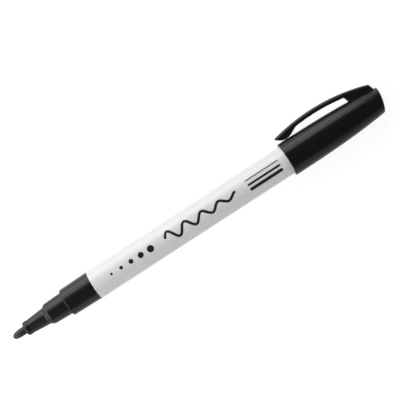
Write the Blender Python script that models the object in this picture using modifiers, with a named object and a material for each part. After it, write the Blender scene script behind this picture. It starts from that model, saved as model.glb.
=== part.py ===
# A valve-action paint marker with its cap posted on the tail, lying on its side.
# Heights run along the marker from the tip of the nib to the crown of the cap.
# The clip points to +Y. All sizes are in metres.
import math

import bmesh
import bpy
from mathutils import Vector

MM = 0.001

# Round sides and gaps
SIDES = 48
FIT_GAP = 0.08 * MM
SEAT_GAP = 0.10 * MM
POST_GAP = 0.12 * MM

# Barrel
BARREL_RADIUS = 5.18 * MM
BARREL_LENGTH = 88.3 * MM
BARREL_WALL = 0.40 * MM
SHOULDER_ROUND = 0.70 * MM
TAIL_LENGTH = 7.0 * MM
TAIL_ROUND = 0.80 * MM
BASE_WALL = 0.70 * MM

# Nib
NIB_RADIUS = 1.42 * MM
NIB_SHOWING = 4.94 * MM
NIB_POINT = 3.10 * MM
NIB_DEPTH = 2.70 * MM
NIB_TRAVEL = 1.20 * MM

# Front section
BEAD_WALL = 1.03 * MM
BEAD_LENGTH = 1.40 * MM
NECK_DEPTH = 0.09 * MM
CONE_LENGTH = 7.00 * MM
CONE_RISE = 0.62 * MM
CHAMFER_LENGTH = 1.30 * MM
LAND_LENGTH = 6.97 * MM
LAND_TAPER = 0.27 * MM
LAND_STEP = 0.82 * MM
COLLAR_LENGTH = 10.95 * MM
COLLAR_TAPER = 0.19 * MM
COLLAR_INSET = 0.02 * MM
EDGE_ROUND = 0.20 * MM
SPIGOT_LENGTH = 8.0 * MM
SPIGOT_WALL = 0.80 * MM
NIB_GRIP = 6.0 * MM
CHAMBER_GAP = 0.62 * MM

# Valve
PIN_RADIUS = 0.75 * MM
PIN_GAP = 0.20 * MM
ORIFICE_GAP = 0.40 * MM
SEAT_RISE = 0.95 * MM
SEAT_LEAD = 0.70 * MM
HEAD_LENGTH = 0.90 * MM
VALVE_LENGTH = 8.0 * MM
VALVE_WALL = 0.80 * MM
GUIDE_LENGTH = 6.0 * MM
SKIRT_LENGTH = 1.60 * MM
FLANGE_LENGTH = 0.80 * MM
BASKET_WALL = 0.70 * MM
BASKET_LENGTH = 3.60 * MM
BASKET_BASE = 0.80 * MM
WINDOW_WIDTH = 1.60 * MM
WIRE_RADIUS = 0.20 * MM
COIL_SPACE = 0.30 * MM
COIL_TURNS = 5.5

# Mixing ball
BALL_RADIUS = 3.0 * MM
BALL_PLACE = 0.72

# Cap
CAP_WALL = 0.81 * MM
CAP_LENGTH = 38.72 * MM
CAP_DROP = 1.52 * MM
CAP_DROP_AT = 36.2 * MM
CAP_DROP_POWER = 2.8
SHELL_WALL = 0.85 * MM
SKIRT_DEPTH = 10.3 * MM
TAPER_START = 4.0 * MM
CROWN_STOCK = 0.60 * MM
CROWN_THICKNESS = 2.60 * MM
DOME_RADIUS = 15.2 * MM
DOME_OFFSET = 2.95 * MM
DOME_SPAN = math.radians(48.0)
DOME_BLOCK = 3.0 * MM

# Clip
CLIP_RISE = 3.95 * MM
CLIP_BOW = 66.9 * MM
CLIP_PEAK = 15.5 * MM
CLIP_THICKNESS = 1.72 * MM
CLIP_TIP = 0.15 * MM
CLIP_TIP_HEIGHT = 0.42 * MM
CLIP_END = 37.0 * MM
CLIP_END_SLANT = 0.75 * MM
CLIP_GAP_END = 27.75 * MM
CLIP_GAP_SLANT = 0.55 * MM
CLIP_ROOT_SHORT = 1.0 * MM
CLIP_FLANK = 8.6 * MM
CLIP_WIDTH = 4.2 * MM
CLIP_TIP_WIDTH = 3.4 * MM
CLIP_EDGE = 0.30 * MM
HEEL_AT = 3.9 * MM
HEEL_GAP = 0.12 * MM
HEEL_ROUND = 4.4 * MM

# Inner cap
LINER_WALL = 0.62 * MM
LINER_FLANGE = 1.40 * MM
LINER_NECK = 2.20 * MM
LINER_STEP = 0.45 * MM
LINER_ROOM = 2.60 * MM
LINER_BASE = 0.80 * MM

# Places along the marker
TIP_FACE = NIB_SHOWING
CONE_START = TIP_FACE + BEAD_LENGTH
CONE_END = CONE_START + CONE_LENGTH
LAND_START = CONE_END + CHAMFER_LENGTH
COLLAR_FRONT = LAND_START + LAND_LENGTH
COLLAR_REAR = COLLAR_FRONT + COLLAR_LENGTH
SPIGOT_END = COLLAR_REAR + SPIGOT_LENGTH
BARREL_FRONT = COLLAR_REAR + SEAT_GAP
SHOULDER = BARREL_FRONT + BARREL_LENGTH
TAIL_END = SHOULDER + TAIL_LENGTH
CAP_RIM = SHOULDER + SEAT_GAP - SKIRT_DEPTH
NIB_REAR = COLLAR_FRONT + NIB_DEPTH
SOCKET_FLOOR = NIB_REAR + SEAT_GAP
GASKET_FRONT = SOCKET_FLOOR + SEAT_GAP
VALVE_FRONT = GASKET_FRONT + NIB_TRAVEL + SEAT_GAP
SEAT_START = VALVE_FRONT + SEAT_LEAD
SEAT_END = SEAT_START + SEAT_RISE
VALVE_REAR = VALVE_FRONT + VALVE_LENGTH
FLANGE_FRONT = VALVE_REAR + SEAT_GAP
FLANGE_REAR = FLANGE_FRONT + FLANGE_LENGTH
BASKET_FLOOR = FLANGE_REAR + BASKET_LENGTH
BASKET_END = BASKET_FLOOR + BASKET_BASE

# Radii that follow from the barrel
BORE_RADIUS = BARREL_RADIUS - BARREL_WALL
COLLAR_RADIUS = BARREL_RADIUS - COLLAR_INSET
COLLAR_FRONT_RADIUS = COLLAR_RADIUS - COLLAR_TAPER
LAND_RADIUS = COLLAR_FRONT_RADIUS - LAND_STEP
LAND_FRONT_RADIUS = LAND_RADIUS - LAND_TAPER
TAIL_RADIUS = LAND_RADIUS
SPIGOT_RADIUS = BORE_RADIUS - FIT_GAP
SOCKET_RADIUS = SPIGOT_RADIUS - SPIGOT_WALL
VALVE_RADIUS = SOCKET_RADIUS - FIT_GAP
TUBE_RADIUS = VALVE_RADIUS - VALVE_WALL
SKIRT_RADIUS = TUBE_RADIUS - FIT_GAP
BASKET_RADIUS = SKIRT_RADIUS - BASKET_WALL

# Radii that follow from the nib and the pin
NIB_BORE = NIB_RADIUS + FIT_GAP
BEAD_RADIUS = NIB_BORE + BEAD_WALL
NECK_RADIUS = BEAD_RADIUS - NECK_DEPTH
CONE_RADIUS = NECK_RADIUS + CONE_RISE
CHAMBER_RADIUS = NIB_RADIUS + CHAMBER_GAP
ORIFICE_RADIUS = PIN_RADIUS + ORIFICE_GAP
HEAD_RADIUS = ORIFICE_RADIUS + SEAT_RISE - SEAT_GAP
HEAD_SHIFT = SEAT_GAP * math.sqrt(2.0)
CONE_FOOT = SEAT_START + HEAD_SHIFT - ORIFICE_GAP
HEAD_FRONT = SEAT_START + HEAD_SHIFT + HEAD_RADIUS - ORIFICE_RADIUS
HEAD_REAR = HEAD_FRONT + HEAD_LENGTH
COIL_RADIUS = PIN_RADIUS + COIL_SPACE + WIRE_RADIUS

# Cap sizes, measured from its rim
CAP_BORE = BARREL_RADIUS + POST_GAP
CAP_RADIUS = CAP_BORE + CAP_WALL
CAVITY_END = CAP_LENGTH - CROWN_THICKNESS
LINER_BORE = LAND_RADIUS + FIT_GAP
LAND_SEAL = SKIRT_DEPTH + TAIL_LENGTH + 2.0 * SEAT_GAP
LINER_DEEP = LAND_SEAL + LINER_NECK
LINER_END = CAVITY_END - LINER_ROOM

# The marker lies on a flat side of the rim, with its box centred on the origin
FLAT = math.cos(math.pi / SIDES)
AXIS_HEIGHT = CAP_RADIUS * FLAT
AXIS_SIDE = -(CLIP_RISE + CAP_RADIUS - CAP_RADIUS * FLAT) / 2.0
AXIS_START = -(CAP_RIM + CAP_LENGTH) / 2.0

COLOURS = {
    "barrel": (0.86, 0.86, 0.85, 0.35),
    "front_section": (0.012, 0.012, 0.013, 0.40),
    "nib": (0.010, 0.010, 0.011, 0.90),
    "valve_gasket": (0.030, 0.030, 0.030, 0.80),
    "valve_body": (0.80, 0.80, 0.78, 0.45),
    "valve_stem": (0.75, 0.76, 0.74, 0.45),
    "valve_spring": (0.55, 0.56, 0.58, 0.25),
    "spring_cage": (0.80, 0.80, 0.78, 0.45),
    "mixing_ball": (0.60, 0.61, 0.62, 0.15),
    "cap": (0.012, 0.012, 0.013, 0.32),
    "inner_cap": (0.78, 0.79, 0.78, 0.50),
}
METALS = ("valve_spring", "mixing_ball")

for old in list(bpy.data.objects):
    bpy.data.objects.remove(old)

pieces = bpy.data.collections.new("paint_marker")
cutters = bpy.data.collections.new("cutters")
bpy.context.scene.collection.children.link(pieces)
bpy.context.scene.collection.children.link(cutters)

axis = bpy.data.objects.new("marker_axis", None)
axis.location = (AXIS_START, AXIS_SIDE, AXIS_HEIGHT)
axis.rotation_euler = (0.0, math.pi / 2.0, 0.0)
pieces.objects.link(axis)


def finish_piece(obj):
    red, green, blue, rough = COLOURS[obj.name]
    material = bpy.data.materials.new(obj.name)
    material.use_nodes = True
    shader = material.node_tree.nodes["Principled BSDF"]
    shader.inputs["Base Color"].default_value = (red, green, blue, 1.0)
    shader.inputs["Roughness"].default_value = rough
    shader.inputs["Metallic"].default_value = 1.0 if obj.name in METALS else 0.0
    obj.data.materials.append(material)
    obj.parent = axis
    pieces.objects.link(obj)


def hide_cutter(obj):
    obj.parent = axis
    obj.hide_render = True
    obj.display_type = "WIRE"
    cutters.objects.link(obj)


def turned(name, outline):
    # outline: (radius, height) pairs along the outside towards the cap, then back along the bore
    # A hollow shape's outline meets the axis twice, and starts again from its inner end there
    turn = math.pi / SIDES
    poles = [i for i, point in enumerate(outline) if point[0] == 0.0]
    if outline[0][0] > 0.0 and poles:
        outline = outline[poles[1]:] + outline[:poles[1]]
    points = []
    for radius, height in reversed(outline):
        points.append((radius * math.cos(turn), radius * math.sin(turn), height))
    edges = [(i, i + 1) for i in range(len(points) - 1)]
    if outline[0][0] > 0.0:
        edges.append((len(points) - 1, 0))
    mesh = bpy.data.meshes.new(name)
    mesh.from_pydata(points, edges, [])
    obj = bpy.data.objects.new(name, mesh)
    screw = obj.modifiers.new("turn", "SCREW")
    screw.axis = "Z"
    screw.angle = 2.0 * math.pi
    screw.steps = SIDES
    screw.render_steps = SIDES
    screw.use_merge_vertices = True
    screw.merge_threshold = 0.000005
    return obj


def arc(radius, height, size, start, end, count):
    # Points on a round edge about (radius, height), with angles in degrees from +radius
    points = []
    for i in range(count + 1):
        angle = math.radians(start + (end - start) * i / count)
        points.append((radius + size * math.cos(angle), height + size * math.sin(angle)))
    return points


def boolean(obj, other, operation):
    modifier = obj.modifiers.new(other.name, "BOOLEAN")
    modifier.operation = operation
    modifier.solver = "EXACT"
    modifier.object = other


def cap_radius(depth):
    return CAP_RADIUS - CAP_DROP * (max(depth, 0.0) / CAP_DROP_AT) ** CAP_DROP_POWER


def stations(start, end, count):
    return [start + (end - start) * i / count for i in range(count + 1)]


# Barrel: a closed tube with a stepped tail
outline = [(BORE_RADIUS, BARREL_FRONT), (BARREL_RADIUS - EDGE_ROUND, BARREL_FRONT)]
outline.append((BARREL_RADIUS, BARREL_FRONT + EDGE_ROUND))
outline += arc(BARREL_RADIUS - SHOULDER_ROUND, SHOULDER - SHOULDER_ROUND, SHOULDER_ROUND, 0, 90, 4)
outline.append((TAIL_RADIUS, SHOULDER))
outline += arc(TAIL_RADIUS - TAIL_ROUND, TAIL_END - TAIL_ROUND, TAIL_ROUND, 0, 90, 4)
outline.append((0.0, TAIL_END))
outline.append((0.0, TAIL_END - BASE_WALL))
outline.append((TAIL_RADIUS - BARREL_WALL - TAIL_ROUND, TAIL_END - BASE_WALL))
outline.append((TAIL_RADIUS - BARREL_WALL, TAIL_END - BASE_WALL - TAIL_ROUND))
outline.append((TAIL_RADIUS - BARREL_WALL, SHOULDER - BASE_WALL))
outline.append((BORE_RADIUS - SHOULDER_ROUND, SHOULDER - BASE_WALL))
outline.append((BORE_RADIUS, SHOULDER - BASE_WALL - SHOULDER_ROUND))
finish_piece(turned("barrel", outline))

# Front section: bead, cone, sealing land, collar and spigot round one stepped bore
outline = [(NIB_BORE, TIP_FACE), (BEAD_RADIUS - 2.0 * EDGE_ROUND, TIP_FACE)]
outline.append((BEAD_RADIUS, TIP_FACE + 3.0 * EDGE_ROUND))
outline.append((BEAD_RADIUS, CONE_START - EDGE_ROUND))
outline.append((NECK_RADIUS, CONE_START))
outline.append((CONE_RADIUS, CONE_END))
outline.append((LAND_FRONT_RADIUS - EDGE_ROUND, LAND_START - EDGE_ROUND))
outline.append((LAND_FRONT_RADIUS, LAND_START + EDGE_ROUND))
outline.append((LAND_RADIUS, COLLAR_FRONT))
outline += arc(COLLAR_FRONT_RADIUS - EDGE_ROUND, COLLAR_FRONT + EDGE_ROUND, EDGE_ROUND, -90, 0, 2)
outline.append((COLLAR_RADIUS, COLLAR_REAR - EDGE_ROUND))
outline.append((COLLAR_RADIUS - EDGE_ROUND, COLLAR_REAR))
outline.append((SPIGOT_RADIUS, COLLAR_REAR))
outline.append((SPIGOT_RADIUS, SPIGOT_END - 2.0 * EDGE_ROUND))
outline.append((SPIGOT_RADIUS - EDGE_ROUND, SPIGOT_END))
outline.append((SOCKET_RADIUS, SPIGOT_END))
outline.append((SOCKET_RADIUS, SOCKET_FLOOR))
outline.append((CHAMBER_RADIUS, SOCKET_FLOOR))
outline.append((CHAMBER_RADIUS, TIP_FACE + NIB_GRIP + CHAMBER_GAP))
outline.append((NIB_BORE, TIP_FACE + NIB_GRIP))
finish_piece(turned("front_section", outline))

# Nib: a fibre rod with a half-ellipse point
outline = []
for i in range(9):
    angle = math.pi / 2.0 * i / 8
    outline.append((NIB_RADIUS * math.sin(angle), NIB_POINT * (1.0 - math.cos(angle))))
outline.append((NIB_RADIUS, NIB_REAR - EDGE_ROUND))
outline.append((NIB_RADIUS - EDGE_ROUND, NIB_REAR))
outline.append((0.0, NIB_REAR))
finish_piece(turned("nib", outline))

# Valve gasket: a washer that the end of the nib moves through
GASKET_HOLE = NIB_RADIUS + 2.0 * FIT_GAP
outline = [(GASKET_HOLE, GASKET_FRONT), (VALVE_RADIUS, GASKET_FRONT)]
outline.append((VALVE_RADIUS, GASKET_FRONT + NIB_TRAVEL))
outline.append((GASKET_HOLE, GASKET_FRONT + NIB_TRAVEL))
finish_piece(turned("valve_gasket", outline))

# Valve body: orifice, conical seat and tube
outline = [(ORIFICE_RADIUS, VALVE_FRONT), (VALVE_RADIUS - EDGE_ROUND, VALVE_FRONT)]
outline.append((VALVE_RADIUS, VALVE_FRONT + EDGE_ROUND))
outline.append((VALVE_RADIUS, VALVE_REAR))
outline.append((TUBE_RADIUS, VALVE_REAR))
outline.append((TUBE_RADIUS, SEAT_END))
outline.append((ORIFICE_RADIUS + SEAT_RISE, SEAT_END))
outline.append((ORIFICE_RADIUS, SEAT_START))
finish_piece(turned("valve_body", outline))

# Valve stem: pin, conical head and spring guide
GUIDE_END = HEAD_REAR + GUIDE_LENGTH
outline = [(0.0, NIB_REAR + PIN_GAP), (PIN_RADIUS, NIB_REAR + PIN_GAP)]
outline.append((PIN_RADIUS, CONE_FOOT))
outline.append((HEAD_RADIUS, HEAD_FRONT))
outline.append((HEAD_RADIUS, HEAD_REAR))
outline.append((PIN_RADIUS, HEAD_REAR))
outline.append((PIN_RADIUS, GUIDE_END - EDGE_ROUND))
outline.append((PIN_RADIUS - EDGE_ROUND, GUIDE_END))
outline.append((0.0, GUIDE_END))
finish_piece(turned("valve_stem", outline))

# Spring cage: skirt, flange and basket with four windows
outline = [(BASKET_RADIUS, FLANGE_FRONT - SKIRT_LENGTH)]
outline.append((SKIRT_RADIUS, FLANGE_FRONT - SKIRT_LENGTH))
outline.append((SKIRT_RADIUS, FLANGE_FRONT))
outline.append((VALVE_RADIUS, FLANGE_FRONT))
outline.append((VALVE_RADIUS, FLANGE_REAR))
outline.append((SKIRT_RADIUS, FLANGE_REAR))
outline.append((SKIRT_RADIUS, BASKET_END - EDGE_ROUND))
outline.append((SKIRT_RADIUS - EDGE_ROUND, BASKET_END))
outline.append((0.0, BASKET_END))
outline.append((0.0, BASKET_FLOOR))
outline.append((BASKET_RADIUS, BASKET_FLOOR))
spring_cage = turned("spring_cage", outline)
for name, turn in (("windows_a", 0.0), ("windows_b", math.pi / 2.0)):
    box = bmesh.new()
    bmesh.ops.create_cube(box, size=1.0)
    spread = Vector((2.0 * VALVE_RADIUS, WINDOW_WIDTH, BASKET_LENGTH - 2.0 * BASKET_WALL))
    bmesh.ops.scale(box, vec=spread, verts=box.verts)
    mesh = bpy.data.meshes.new(name)
    box.to_mesh(mesh)
    box.free()
    window = bpy.data.objects.new(name, mesh)
    window.location = (0.0, 0.0, (FLANGE_REAR + BASKET_FLOOR) / 2.0)
    window.rotation_euler = (0.0, 0.0, turn + math.pi / 4.0)
    hide_cutter(window)
    boolean(spring_cage, window, "DIFFERENCE")
finish_piece(spring_cage)

# Valve spring: one wire in an open coil
coil_start = HEAD_REAR + WIRE_RADIUS + SEAT_GAP
coil_length = BASKET_FLOOR - WIRE_RADIUS - SEAT_GAP - coil_start
coil_count = int(round(COIL_TURNS * 10))
coil = []
for i in range(coil_count + 1):
    angle = 2.0 * math.pi * COIL_TURNS * i / coil_count
    height = coil_start + coil_length * i / coil_count
    coil.append(Vector((COIL_RADIUS * math.cos(angle), COIL_RADIUS * math.sin(angle), height)))
wire = bpy.data.curves.new("valve_spring", "CURVE")
wire.dimensions = "3D"
wire.bevel_depth = WIRE_RADIUS
wire.bevel_resolution = 1
wire.use_fill_caps = True
spline = wire.splines.new("POLY")
spline.points.add(len(coil) - 1)
for point, place in zip(spline.points, coil):
    point.co = (place.x, place.y, place.z, 1.0)
finish_piece(bpy.data.objects.new("valve_spring", wire))
gaps = []
for i, first in enumerate(coil):
    for second in coil[i + 6:]:
        gaps.append((second - first).length - 2.0 * WIRE_RADIUS)
print("valve_spring least gap to itself, mm:", round(min(gaps) / MM, 3))

# Mixing ball: loose in the barrel, lying on the lower side of the bore
ball_first = max(BASKET_END, SPIGOT_END) + SEAT_GAP + BALL_RADIUS
ball_last = SHOULDER - BASE_WALL - SHOULDER_ROUND - BALL_RADIUS
shape = bmesh.new()
bmesh.ops.create_uvsphere(shape, u_segments=24, v_segments=12, radius=BALL_RADIUS)
mesh = bpy.data.meshes.new("mixing_ball")
shape.to_mesh(mesh)
shape.free()
ball = bpy.data.objects.new("mixing_ball", mesh)
ball_drop = BORE_RADIUS * FLAT - BALL_RADIUS - SEAT_GAP
ball.location = (ball_drop, 0.0, ball_first + BALL_PLACE * (ball_last - ball_first))
finish_piece(ball)

# Cap shell: rim, tapered outside, bore for the barrel and a cavity for the inner cap
outline = [(CAP_BORE + EDGE_ROUND, CAP_RIM), (CAP_RADIUS - EDGE_ROUND, CAP_RIM)]
outline.append((CAP_RADIUS, CAP_RIM + EDGE_ROUND))
for depth in stations(TAPER_START, CAP_LENGTH + CROWN_STOCK, 12):
    outline.append((cap_radius(depth), CAP_RIM + depth))
outline.append((0.0, CAP_RIM + CAP_LENGTH + CROWN_STOCK))
outline.append((0.0, CAP_RIM + CAVITY_END))
for depth in stations(CAVITY_END, SKIRT_DEPTH + SEAT_GAP, 8):
    outline.append((cap_radius(depth) - SHELL_WALL, CAP_RIM + depth))
outline.append((CAP_BORE, CAP_RIM + SKIRT_DEPTH + SEAT_GAP))
outline.append((CAP_BORE, CAP_RIM + EDGE_ROUND))
cap = turned("cap", outline)

# The crown is cut by a hollow dome whose top leans to the clip
apex = CAP_RIM + CAP_LENGTH
outline = []
for i in range(9):
    angle = DOME_SPAN * i / 8
    outline.append((DOME_RADIUS * math.sin(angle), apex - DOME_RADIUS * (1.0 - math.cos(angle))))
outline.append((DOME_RADIUS * math.sin(DOME_SPAN), apex + DOME_BLOCK))
outline.append((0.0, apex + DOME_BLOCK))
dome = turned("dome", outline)
dome.location = (0.0, DOME_OFFSET, 0.0)
hide_cutter(dome)
boolean(cap, dome, "DIFFERENCE")


def bow(depth, inset):
    # Reach of the clip from the axis: an arc of the clip's bow about its peak
    radius = CLIP_BOW - inset
    return CAP_RADIUS + CLIP_RISE - CLIP_BOW + math.sqrt(radius ** 2 - (depth - CLIP_PEAK) ** 2)


def tangent(point, centre, radius, side):
    # Angle on the circle where a line from the point touches it
    away = (point[0] - centre[0], point[1] - centre[1])
    return math.atan2(away[1], away[0]) + side * math.acos(radius / math.hypot(*away))


# Clip outline as (depth from the rim, reach from the axis)
tip_low = (CLIP_TIP, bow(CLIP_TIP, 0.0) - CLIP_TIP_HEIGHT)
flank = (CLIP_FLANK, bow(CLIP_FLANK, CLIP_THICKNESS))
heel = (HEEL_AT, CAP_RADIUS + HEEL_GAP + HEEL_ROUND)
heel_start = tangent(tip_low, heel, HEEL_ROUND, 1.0)
heel_end = tangent(flank, heel, HEEL_ROUND, -1.0)
if heel_start > heel_end:
    heel_start -= 2.0 * math.pi
side = [(depth, bow(depth, 0.0)) for depth in stations(CLIP_TIP, CLIP_END, 18)]
side.append((CLIP_END + CLIP_END_SLANT, cap_radius(CLIP_END) - SHELL_WALL / 2.0))
gap_foot = CLIP_GAP_END + CLIP_GAP_SLANT
for depth in stations(CLIP_END - CLIP_ROOT_SHORT, gap_foot, 3):
    side.append((depth, cap_radius(depth) - SHELL_WALL / 2.0))
for depth in stations(CLIP_GAP_END, CLIP_FLANK, 9):
    side.append((depth, bow(depth, CLIP_THICKNESS)))
for angle in stations(heel_end, heel_start, 5):
    side.append((heel[0] + HEEL_ROUND * math.cos(angle), heel[1] + HEEL_ROUND * math.sin(angle)))
side.append(tip_low)

shape = bmesh.new()
faces = []
for sign in (-1.0, 1.0):
    corners = []
    for depth, reach in side:
        width = CLIP_TIP_WIDTH + (CLIP_WIDTH - CLIP_TIP_WIDTH) * depth / CLIP_END
        corners.append(shape.verts.new((sign * width / 2.0, reach, CAP_RIM + depth)))
    faces.append(corners)
    shape.faces.new(corners)
for i in range(len(side)):
    j = (i + 1) % len(side)
    shape.faces.new((faces[0][i], faces[0][j], faces[1][j], faces[1][i]))
bmesh.ops.recalc_face_normals(shape, faces=shape.faces)
mesh = bpy.data.meshes.new("clip")
shape.to_mesh(mesh)
shape.free()
clip = bpy.data.objects.new("clip", mesh)
edge = clip.modifiers.new("edges", "BEVEL")
edge.width = CLIP_EDGE
edge.segments = 2
edge.limit_method = "ANGLE"
edge.angle_limit = math.radians(40.0)
hide_cutter(clip)
boolean(cap, clip, "UNION")
finish_piece(cap)

# Inner cap: a liner that seals on the land of the front section, or goes round the tail
flange_radius = cap_radius(SKIRT_DEPTH + LINER_FLANGE) - SHELL_WALL - FIT_GAP
deep_radius = cap_radius(LINER_END) - SHELL_WALL - FIT_GAP
seal_radius = LINER_BORE + LINER_WALL
neck_radius = deep_radius + LINER_STEP
mouth = CAP_RIM + SKIRT_DEPTH
outline = [(LINER_BORE + EDGE_ROUND, mouth), (flange_radius - EDGE_ROUND, mouth)]
outline.append((flange_radius, mouth + EDGE_ROUND))
outline.append((flange_radius, mouth + LINER_FLANGE))
outline.append((seal_radius, mouth + LINER_FLANGE))
outline.append((seal_radius, CAP_RIM + LAND_SEAL))
outline.append((neck_radius, CAP_RIM + LINER_DEEP))
outline.append((deep_radius, CAP_RIM + LINER_END - 2.0 * EDGE_ROUND))
outline.append((deep_radius - 2.0 * EDGE_ROUND, CAP_RIM + LINER_END))
outline.append((0.0, CAP_RIM + LINER_END))
outline.append((0.0, CAP_RIM + LINER_END - LINER_BASE))
outline.append((deep_radius - LINER_WALL, CAP_RIM + LINER_END - LINER_BASE))
outline.append((neck_radius - LINER_WALL, CAP_RIM + LINER_DEEP))
outline.append((LINER_BORE, CAP_RIM + LAND_SEAL))
outline.append((LINER_BORE, mouth + EDGE_ROUND))
finish_piece(turned("inner_cap", outline))
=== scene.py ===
import math

import bpy
import numpy as np
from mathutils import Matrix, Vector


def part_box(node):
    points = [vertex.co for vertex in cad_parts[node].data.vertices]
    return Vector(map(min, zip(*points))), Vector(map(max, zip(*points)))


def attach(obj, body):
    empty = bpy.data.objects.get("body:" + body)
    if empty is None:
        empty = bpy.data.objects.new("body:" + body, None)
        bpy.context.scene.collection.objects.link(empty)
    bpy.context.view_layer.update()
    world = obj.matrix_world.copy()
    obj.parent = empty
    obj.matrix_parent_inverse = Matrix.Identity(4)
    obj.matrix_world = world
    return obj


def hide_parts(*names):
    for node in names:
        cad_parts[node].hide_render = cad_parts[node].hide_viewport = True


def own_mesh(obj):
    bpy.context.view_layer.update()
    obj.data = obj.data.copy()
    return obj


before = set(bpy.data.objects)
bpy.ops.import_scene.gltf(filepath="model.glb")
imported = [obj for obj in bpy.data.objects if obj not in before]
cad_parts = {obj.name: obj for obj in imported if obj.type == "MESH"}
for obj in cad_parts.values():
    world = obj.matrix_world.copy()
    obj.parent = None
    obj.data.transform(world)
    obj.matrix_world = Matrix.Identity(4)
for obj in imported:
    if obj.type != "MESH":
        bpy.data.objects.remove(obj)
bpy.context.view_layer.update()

mm = 0.001
sides = 144  # steps round a turned piece
tiny = 0.04  # mm, the last ring before a turned piece closes on its axis
turn = np.linspace(0, 2 * np.pi, sides, endpoint=False)  # from +Y, where the clip is, towards +Z

# the marker's axis runs along +X, through the middle of the barrel
barrelLow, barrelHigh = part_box("barrel")
axisY = (barrelLow.y + barrelHigh.y) / 2
axisZ = (barrelLow.z + barrelHigh.z) / 2


def frontOf(node):
    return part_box(node)[0].x  # where the node starts, on the nib's side


def ease(share):
    # a share that leaves 0 and reaches 1 gently: three times its square less twice its cube
    share = np.clip(share, 0, 1)
    return share ** 2 * (3 - 2 * share)


def runOf(line):
    # distance along a line at each of its points, as the sum of the steps before it
    steps = np.linalg.norm(np.diff(line, axis=0), axis=1)
    return np.concatenate([[0], np.cumsum(steps)])


def placedAt(line, places):
    # points at these distances along a line
    run = runOf(line)
    return np.stack([np.interp(places, run, column) for column in line.T], 1)


def rounded(corners, closed=False, steps=6, hold=0.25, mostOfRun=0.45, sameSpot=0.001):
    # Each corner (along, radius, reach) becomes a circular arc that starts and ends "reach" away from it,
    # as a weighted quadratic curve, with a holding point on either side. A reach of 0 keeps the corner.
    table = np.array(corners, float)
    spot = table[:, :2]
    before = np.roll(spot, 1, 0) - spot
    after = np.roll(spot, -1, 0) - spot
    runBefore = np.linalg.norm(before, axis=1, keepdims=True)
    runAfter = np.linalg.norm(after, axis=1, keepdims=True)
    before = before / runBefore
    after = after / runAfter
    reach = np.minimum(table[:, 2:], mostOfRun * np.minimum(runBefore, runAfter))
    # the middle point's weight is the sine of half the corner's angle
    weight = np.sqrt(np.clip((1 - np.sum(before * after, 1)) / 2, 0, 1))[:, None, None]
    share = np.linspace(0, 1, steps + 1)[None, :, None]
    first = (1 - share) ** 2
    middle = 2 * share * (1 - share) * weight
    last = share ** 2
    start = (spot + before * reach)[:, None]
    end = (spot + after * reach)[:, None]
    arcs = (start * first + spot[:, None] * middle + end * last) / (first + middle + last)
    holdBefore = spot + before * np.minimum(reach * (1 + hold), runBefore / 2)
    holdAfter = spot + after * np.minimum(reach * (1 + hold), runAfter / 2)
    arcs = np.concatenate([holdBefore[:, None], arcs, holdAfter[:, None]], axis=1)
    kept = np.ones(arcs.shape[:2], bool)
    kept[reach[:, 0] == 0, 1:] = False
    if not closed:
        arcs[[0, -1], 0] = spot[[0, -1]]
        kept[[0, -1], 1:] = False
    outline = arcs[kept]
    step = np.linalg.norm(outline - np.roll(outline, 1, 0), axis=1)
    return outline[step > sameSpot]  # without points that fall on the one before


def turned(outline, start, centre=(axisY, axisZ)):
    # Outline is (along, radius) in mm, for all turns alike or for each turn. x is the place along the
    # marker, and y and z are the radius times the cosine and the sine of the turn.
    if outline.ndim == 2:
        outline = np.repeat(outline[:, None], sides, axis=1)
    along = outline[..., 0] * mm
    radius = outline[..., 1] * mm
    aside = centre[0] + radius * np.cos(turn)
    high = centre[1] + radius * np.sin(turn)
    return np.stack([start + along, aside, high], -1)


def gridMesh(name, grids, ends=2):
    # Each grid is rows x columns x 3, in metres, and its columns close on themselves. Fans to their middles
    # close the first row and the last one, or the first alone with 1 end. With 0 ends the rows close on
    # themselves too. A grid that is inside out is turned over.
    points, faces, count = [], [], 0
    for grid in grids:
        rows, columns = grid.shape[:2]
        index = np.arange(rows * columns).reshape(rows, columns)
        spots = grid.reshape(-1, 3)
        lower = index[:-1] if ends else index
        upper = index[1:] if ends else np.roll(index, -1, 0)
        quads = np.stack([lower, np.roll(lower, -1, 1), np.roll(upper, -1, 1), upper], -1).reshape(-1, 4)
        fans = []
        for ring in (index[0][::-1], index[-1])[:ends]:
            spots = np.vstack([spots, spots[ring].mean(0)])
            middle = np.full(columns, len(spots) - 1)
            fans.append(np.stack([middle, ring, np.roll(ring, -1)], -1))
        corners = spots[np.vstack([quads[:, :3], quads[:, [0, 2, 3]]] + fans)]
        volume = np.sum(corners[:, 0] * np.cross(corners[:, 1], corners[:, 2]))
        order = 1 if volume > 0 else -1
        for part in [quads] + fans:
            faces += (count + part[:, ::order]).tolist()
        points.append(spots)
        count += len(spots)
    mesh = bpy.data.meshes.new(name)
    mesh.from_pydata(np.vstack(points).tolist(), [], faces)
    mesh.shade_smooth()
    return mesh


def addPiece(name, mesh, material, body, slot, *stoodFor):
    # the piece rides on a body, takes a finish, and stands for CAD nodes; the slot is not used
    piece = bpy.data.objects.new(name, mesh)
    bpy.context.scene.collection.objects.link(piece)
    mesh.materials.append(material)
    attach(piece, body)
    if stoodFor:
        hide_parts(*stoodFor)
    print("piece", name, "with", len(mesh.polygons), "faces")
    return piece


def linear(code):
    # an sRGB hex colour in linear light
    share = np.array([int(code[i:i + 2], 16) for i in (1, 3, 5)]) / 255
    light = np.where(share <= 0.04045, share / 12.92, ((share + 0.055) / 1.055) ** 2.4)
    return (*light.tolist(), 1.0)


def perMm(size):
    return 1 / (size * mm)  # texture scale whose features are about this many mm wide


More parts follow.
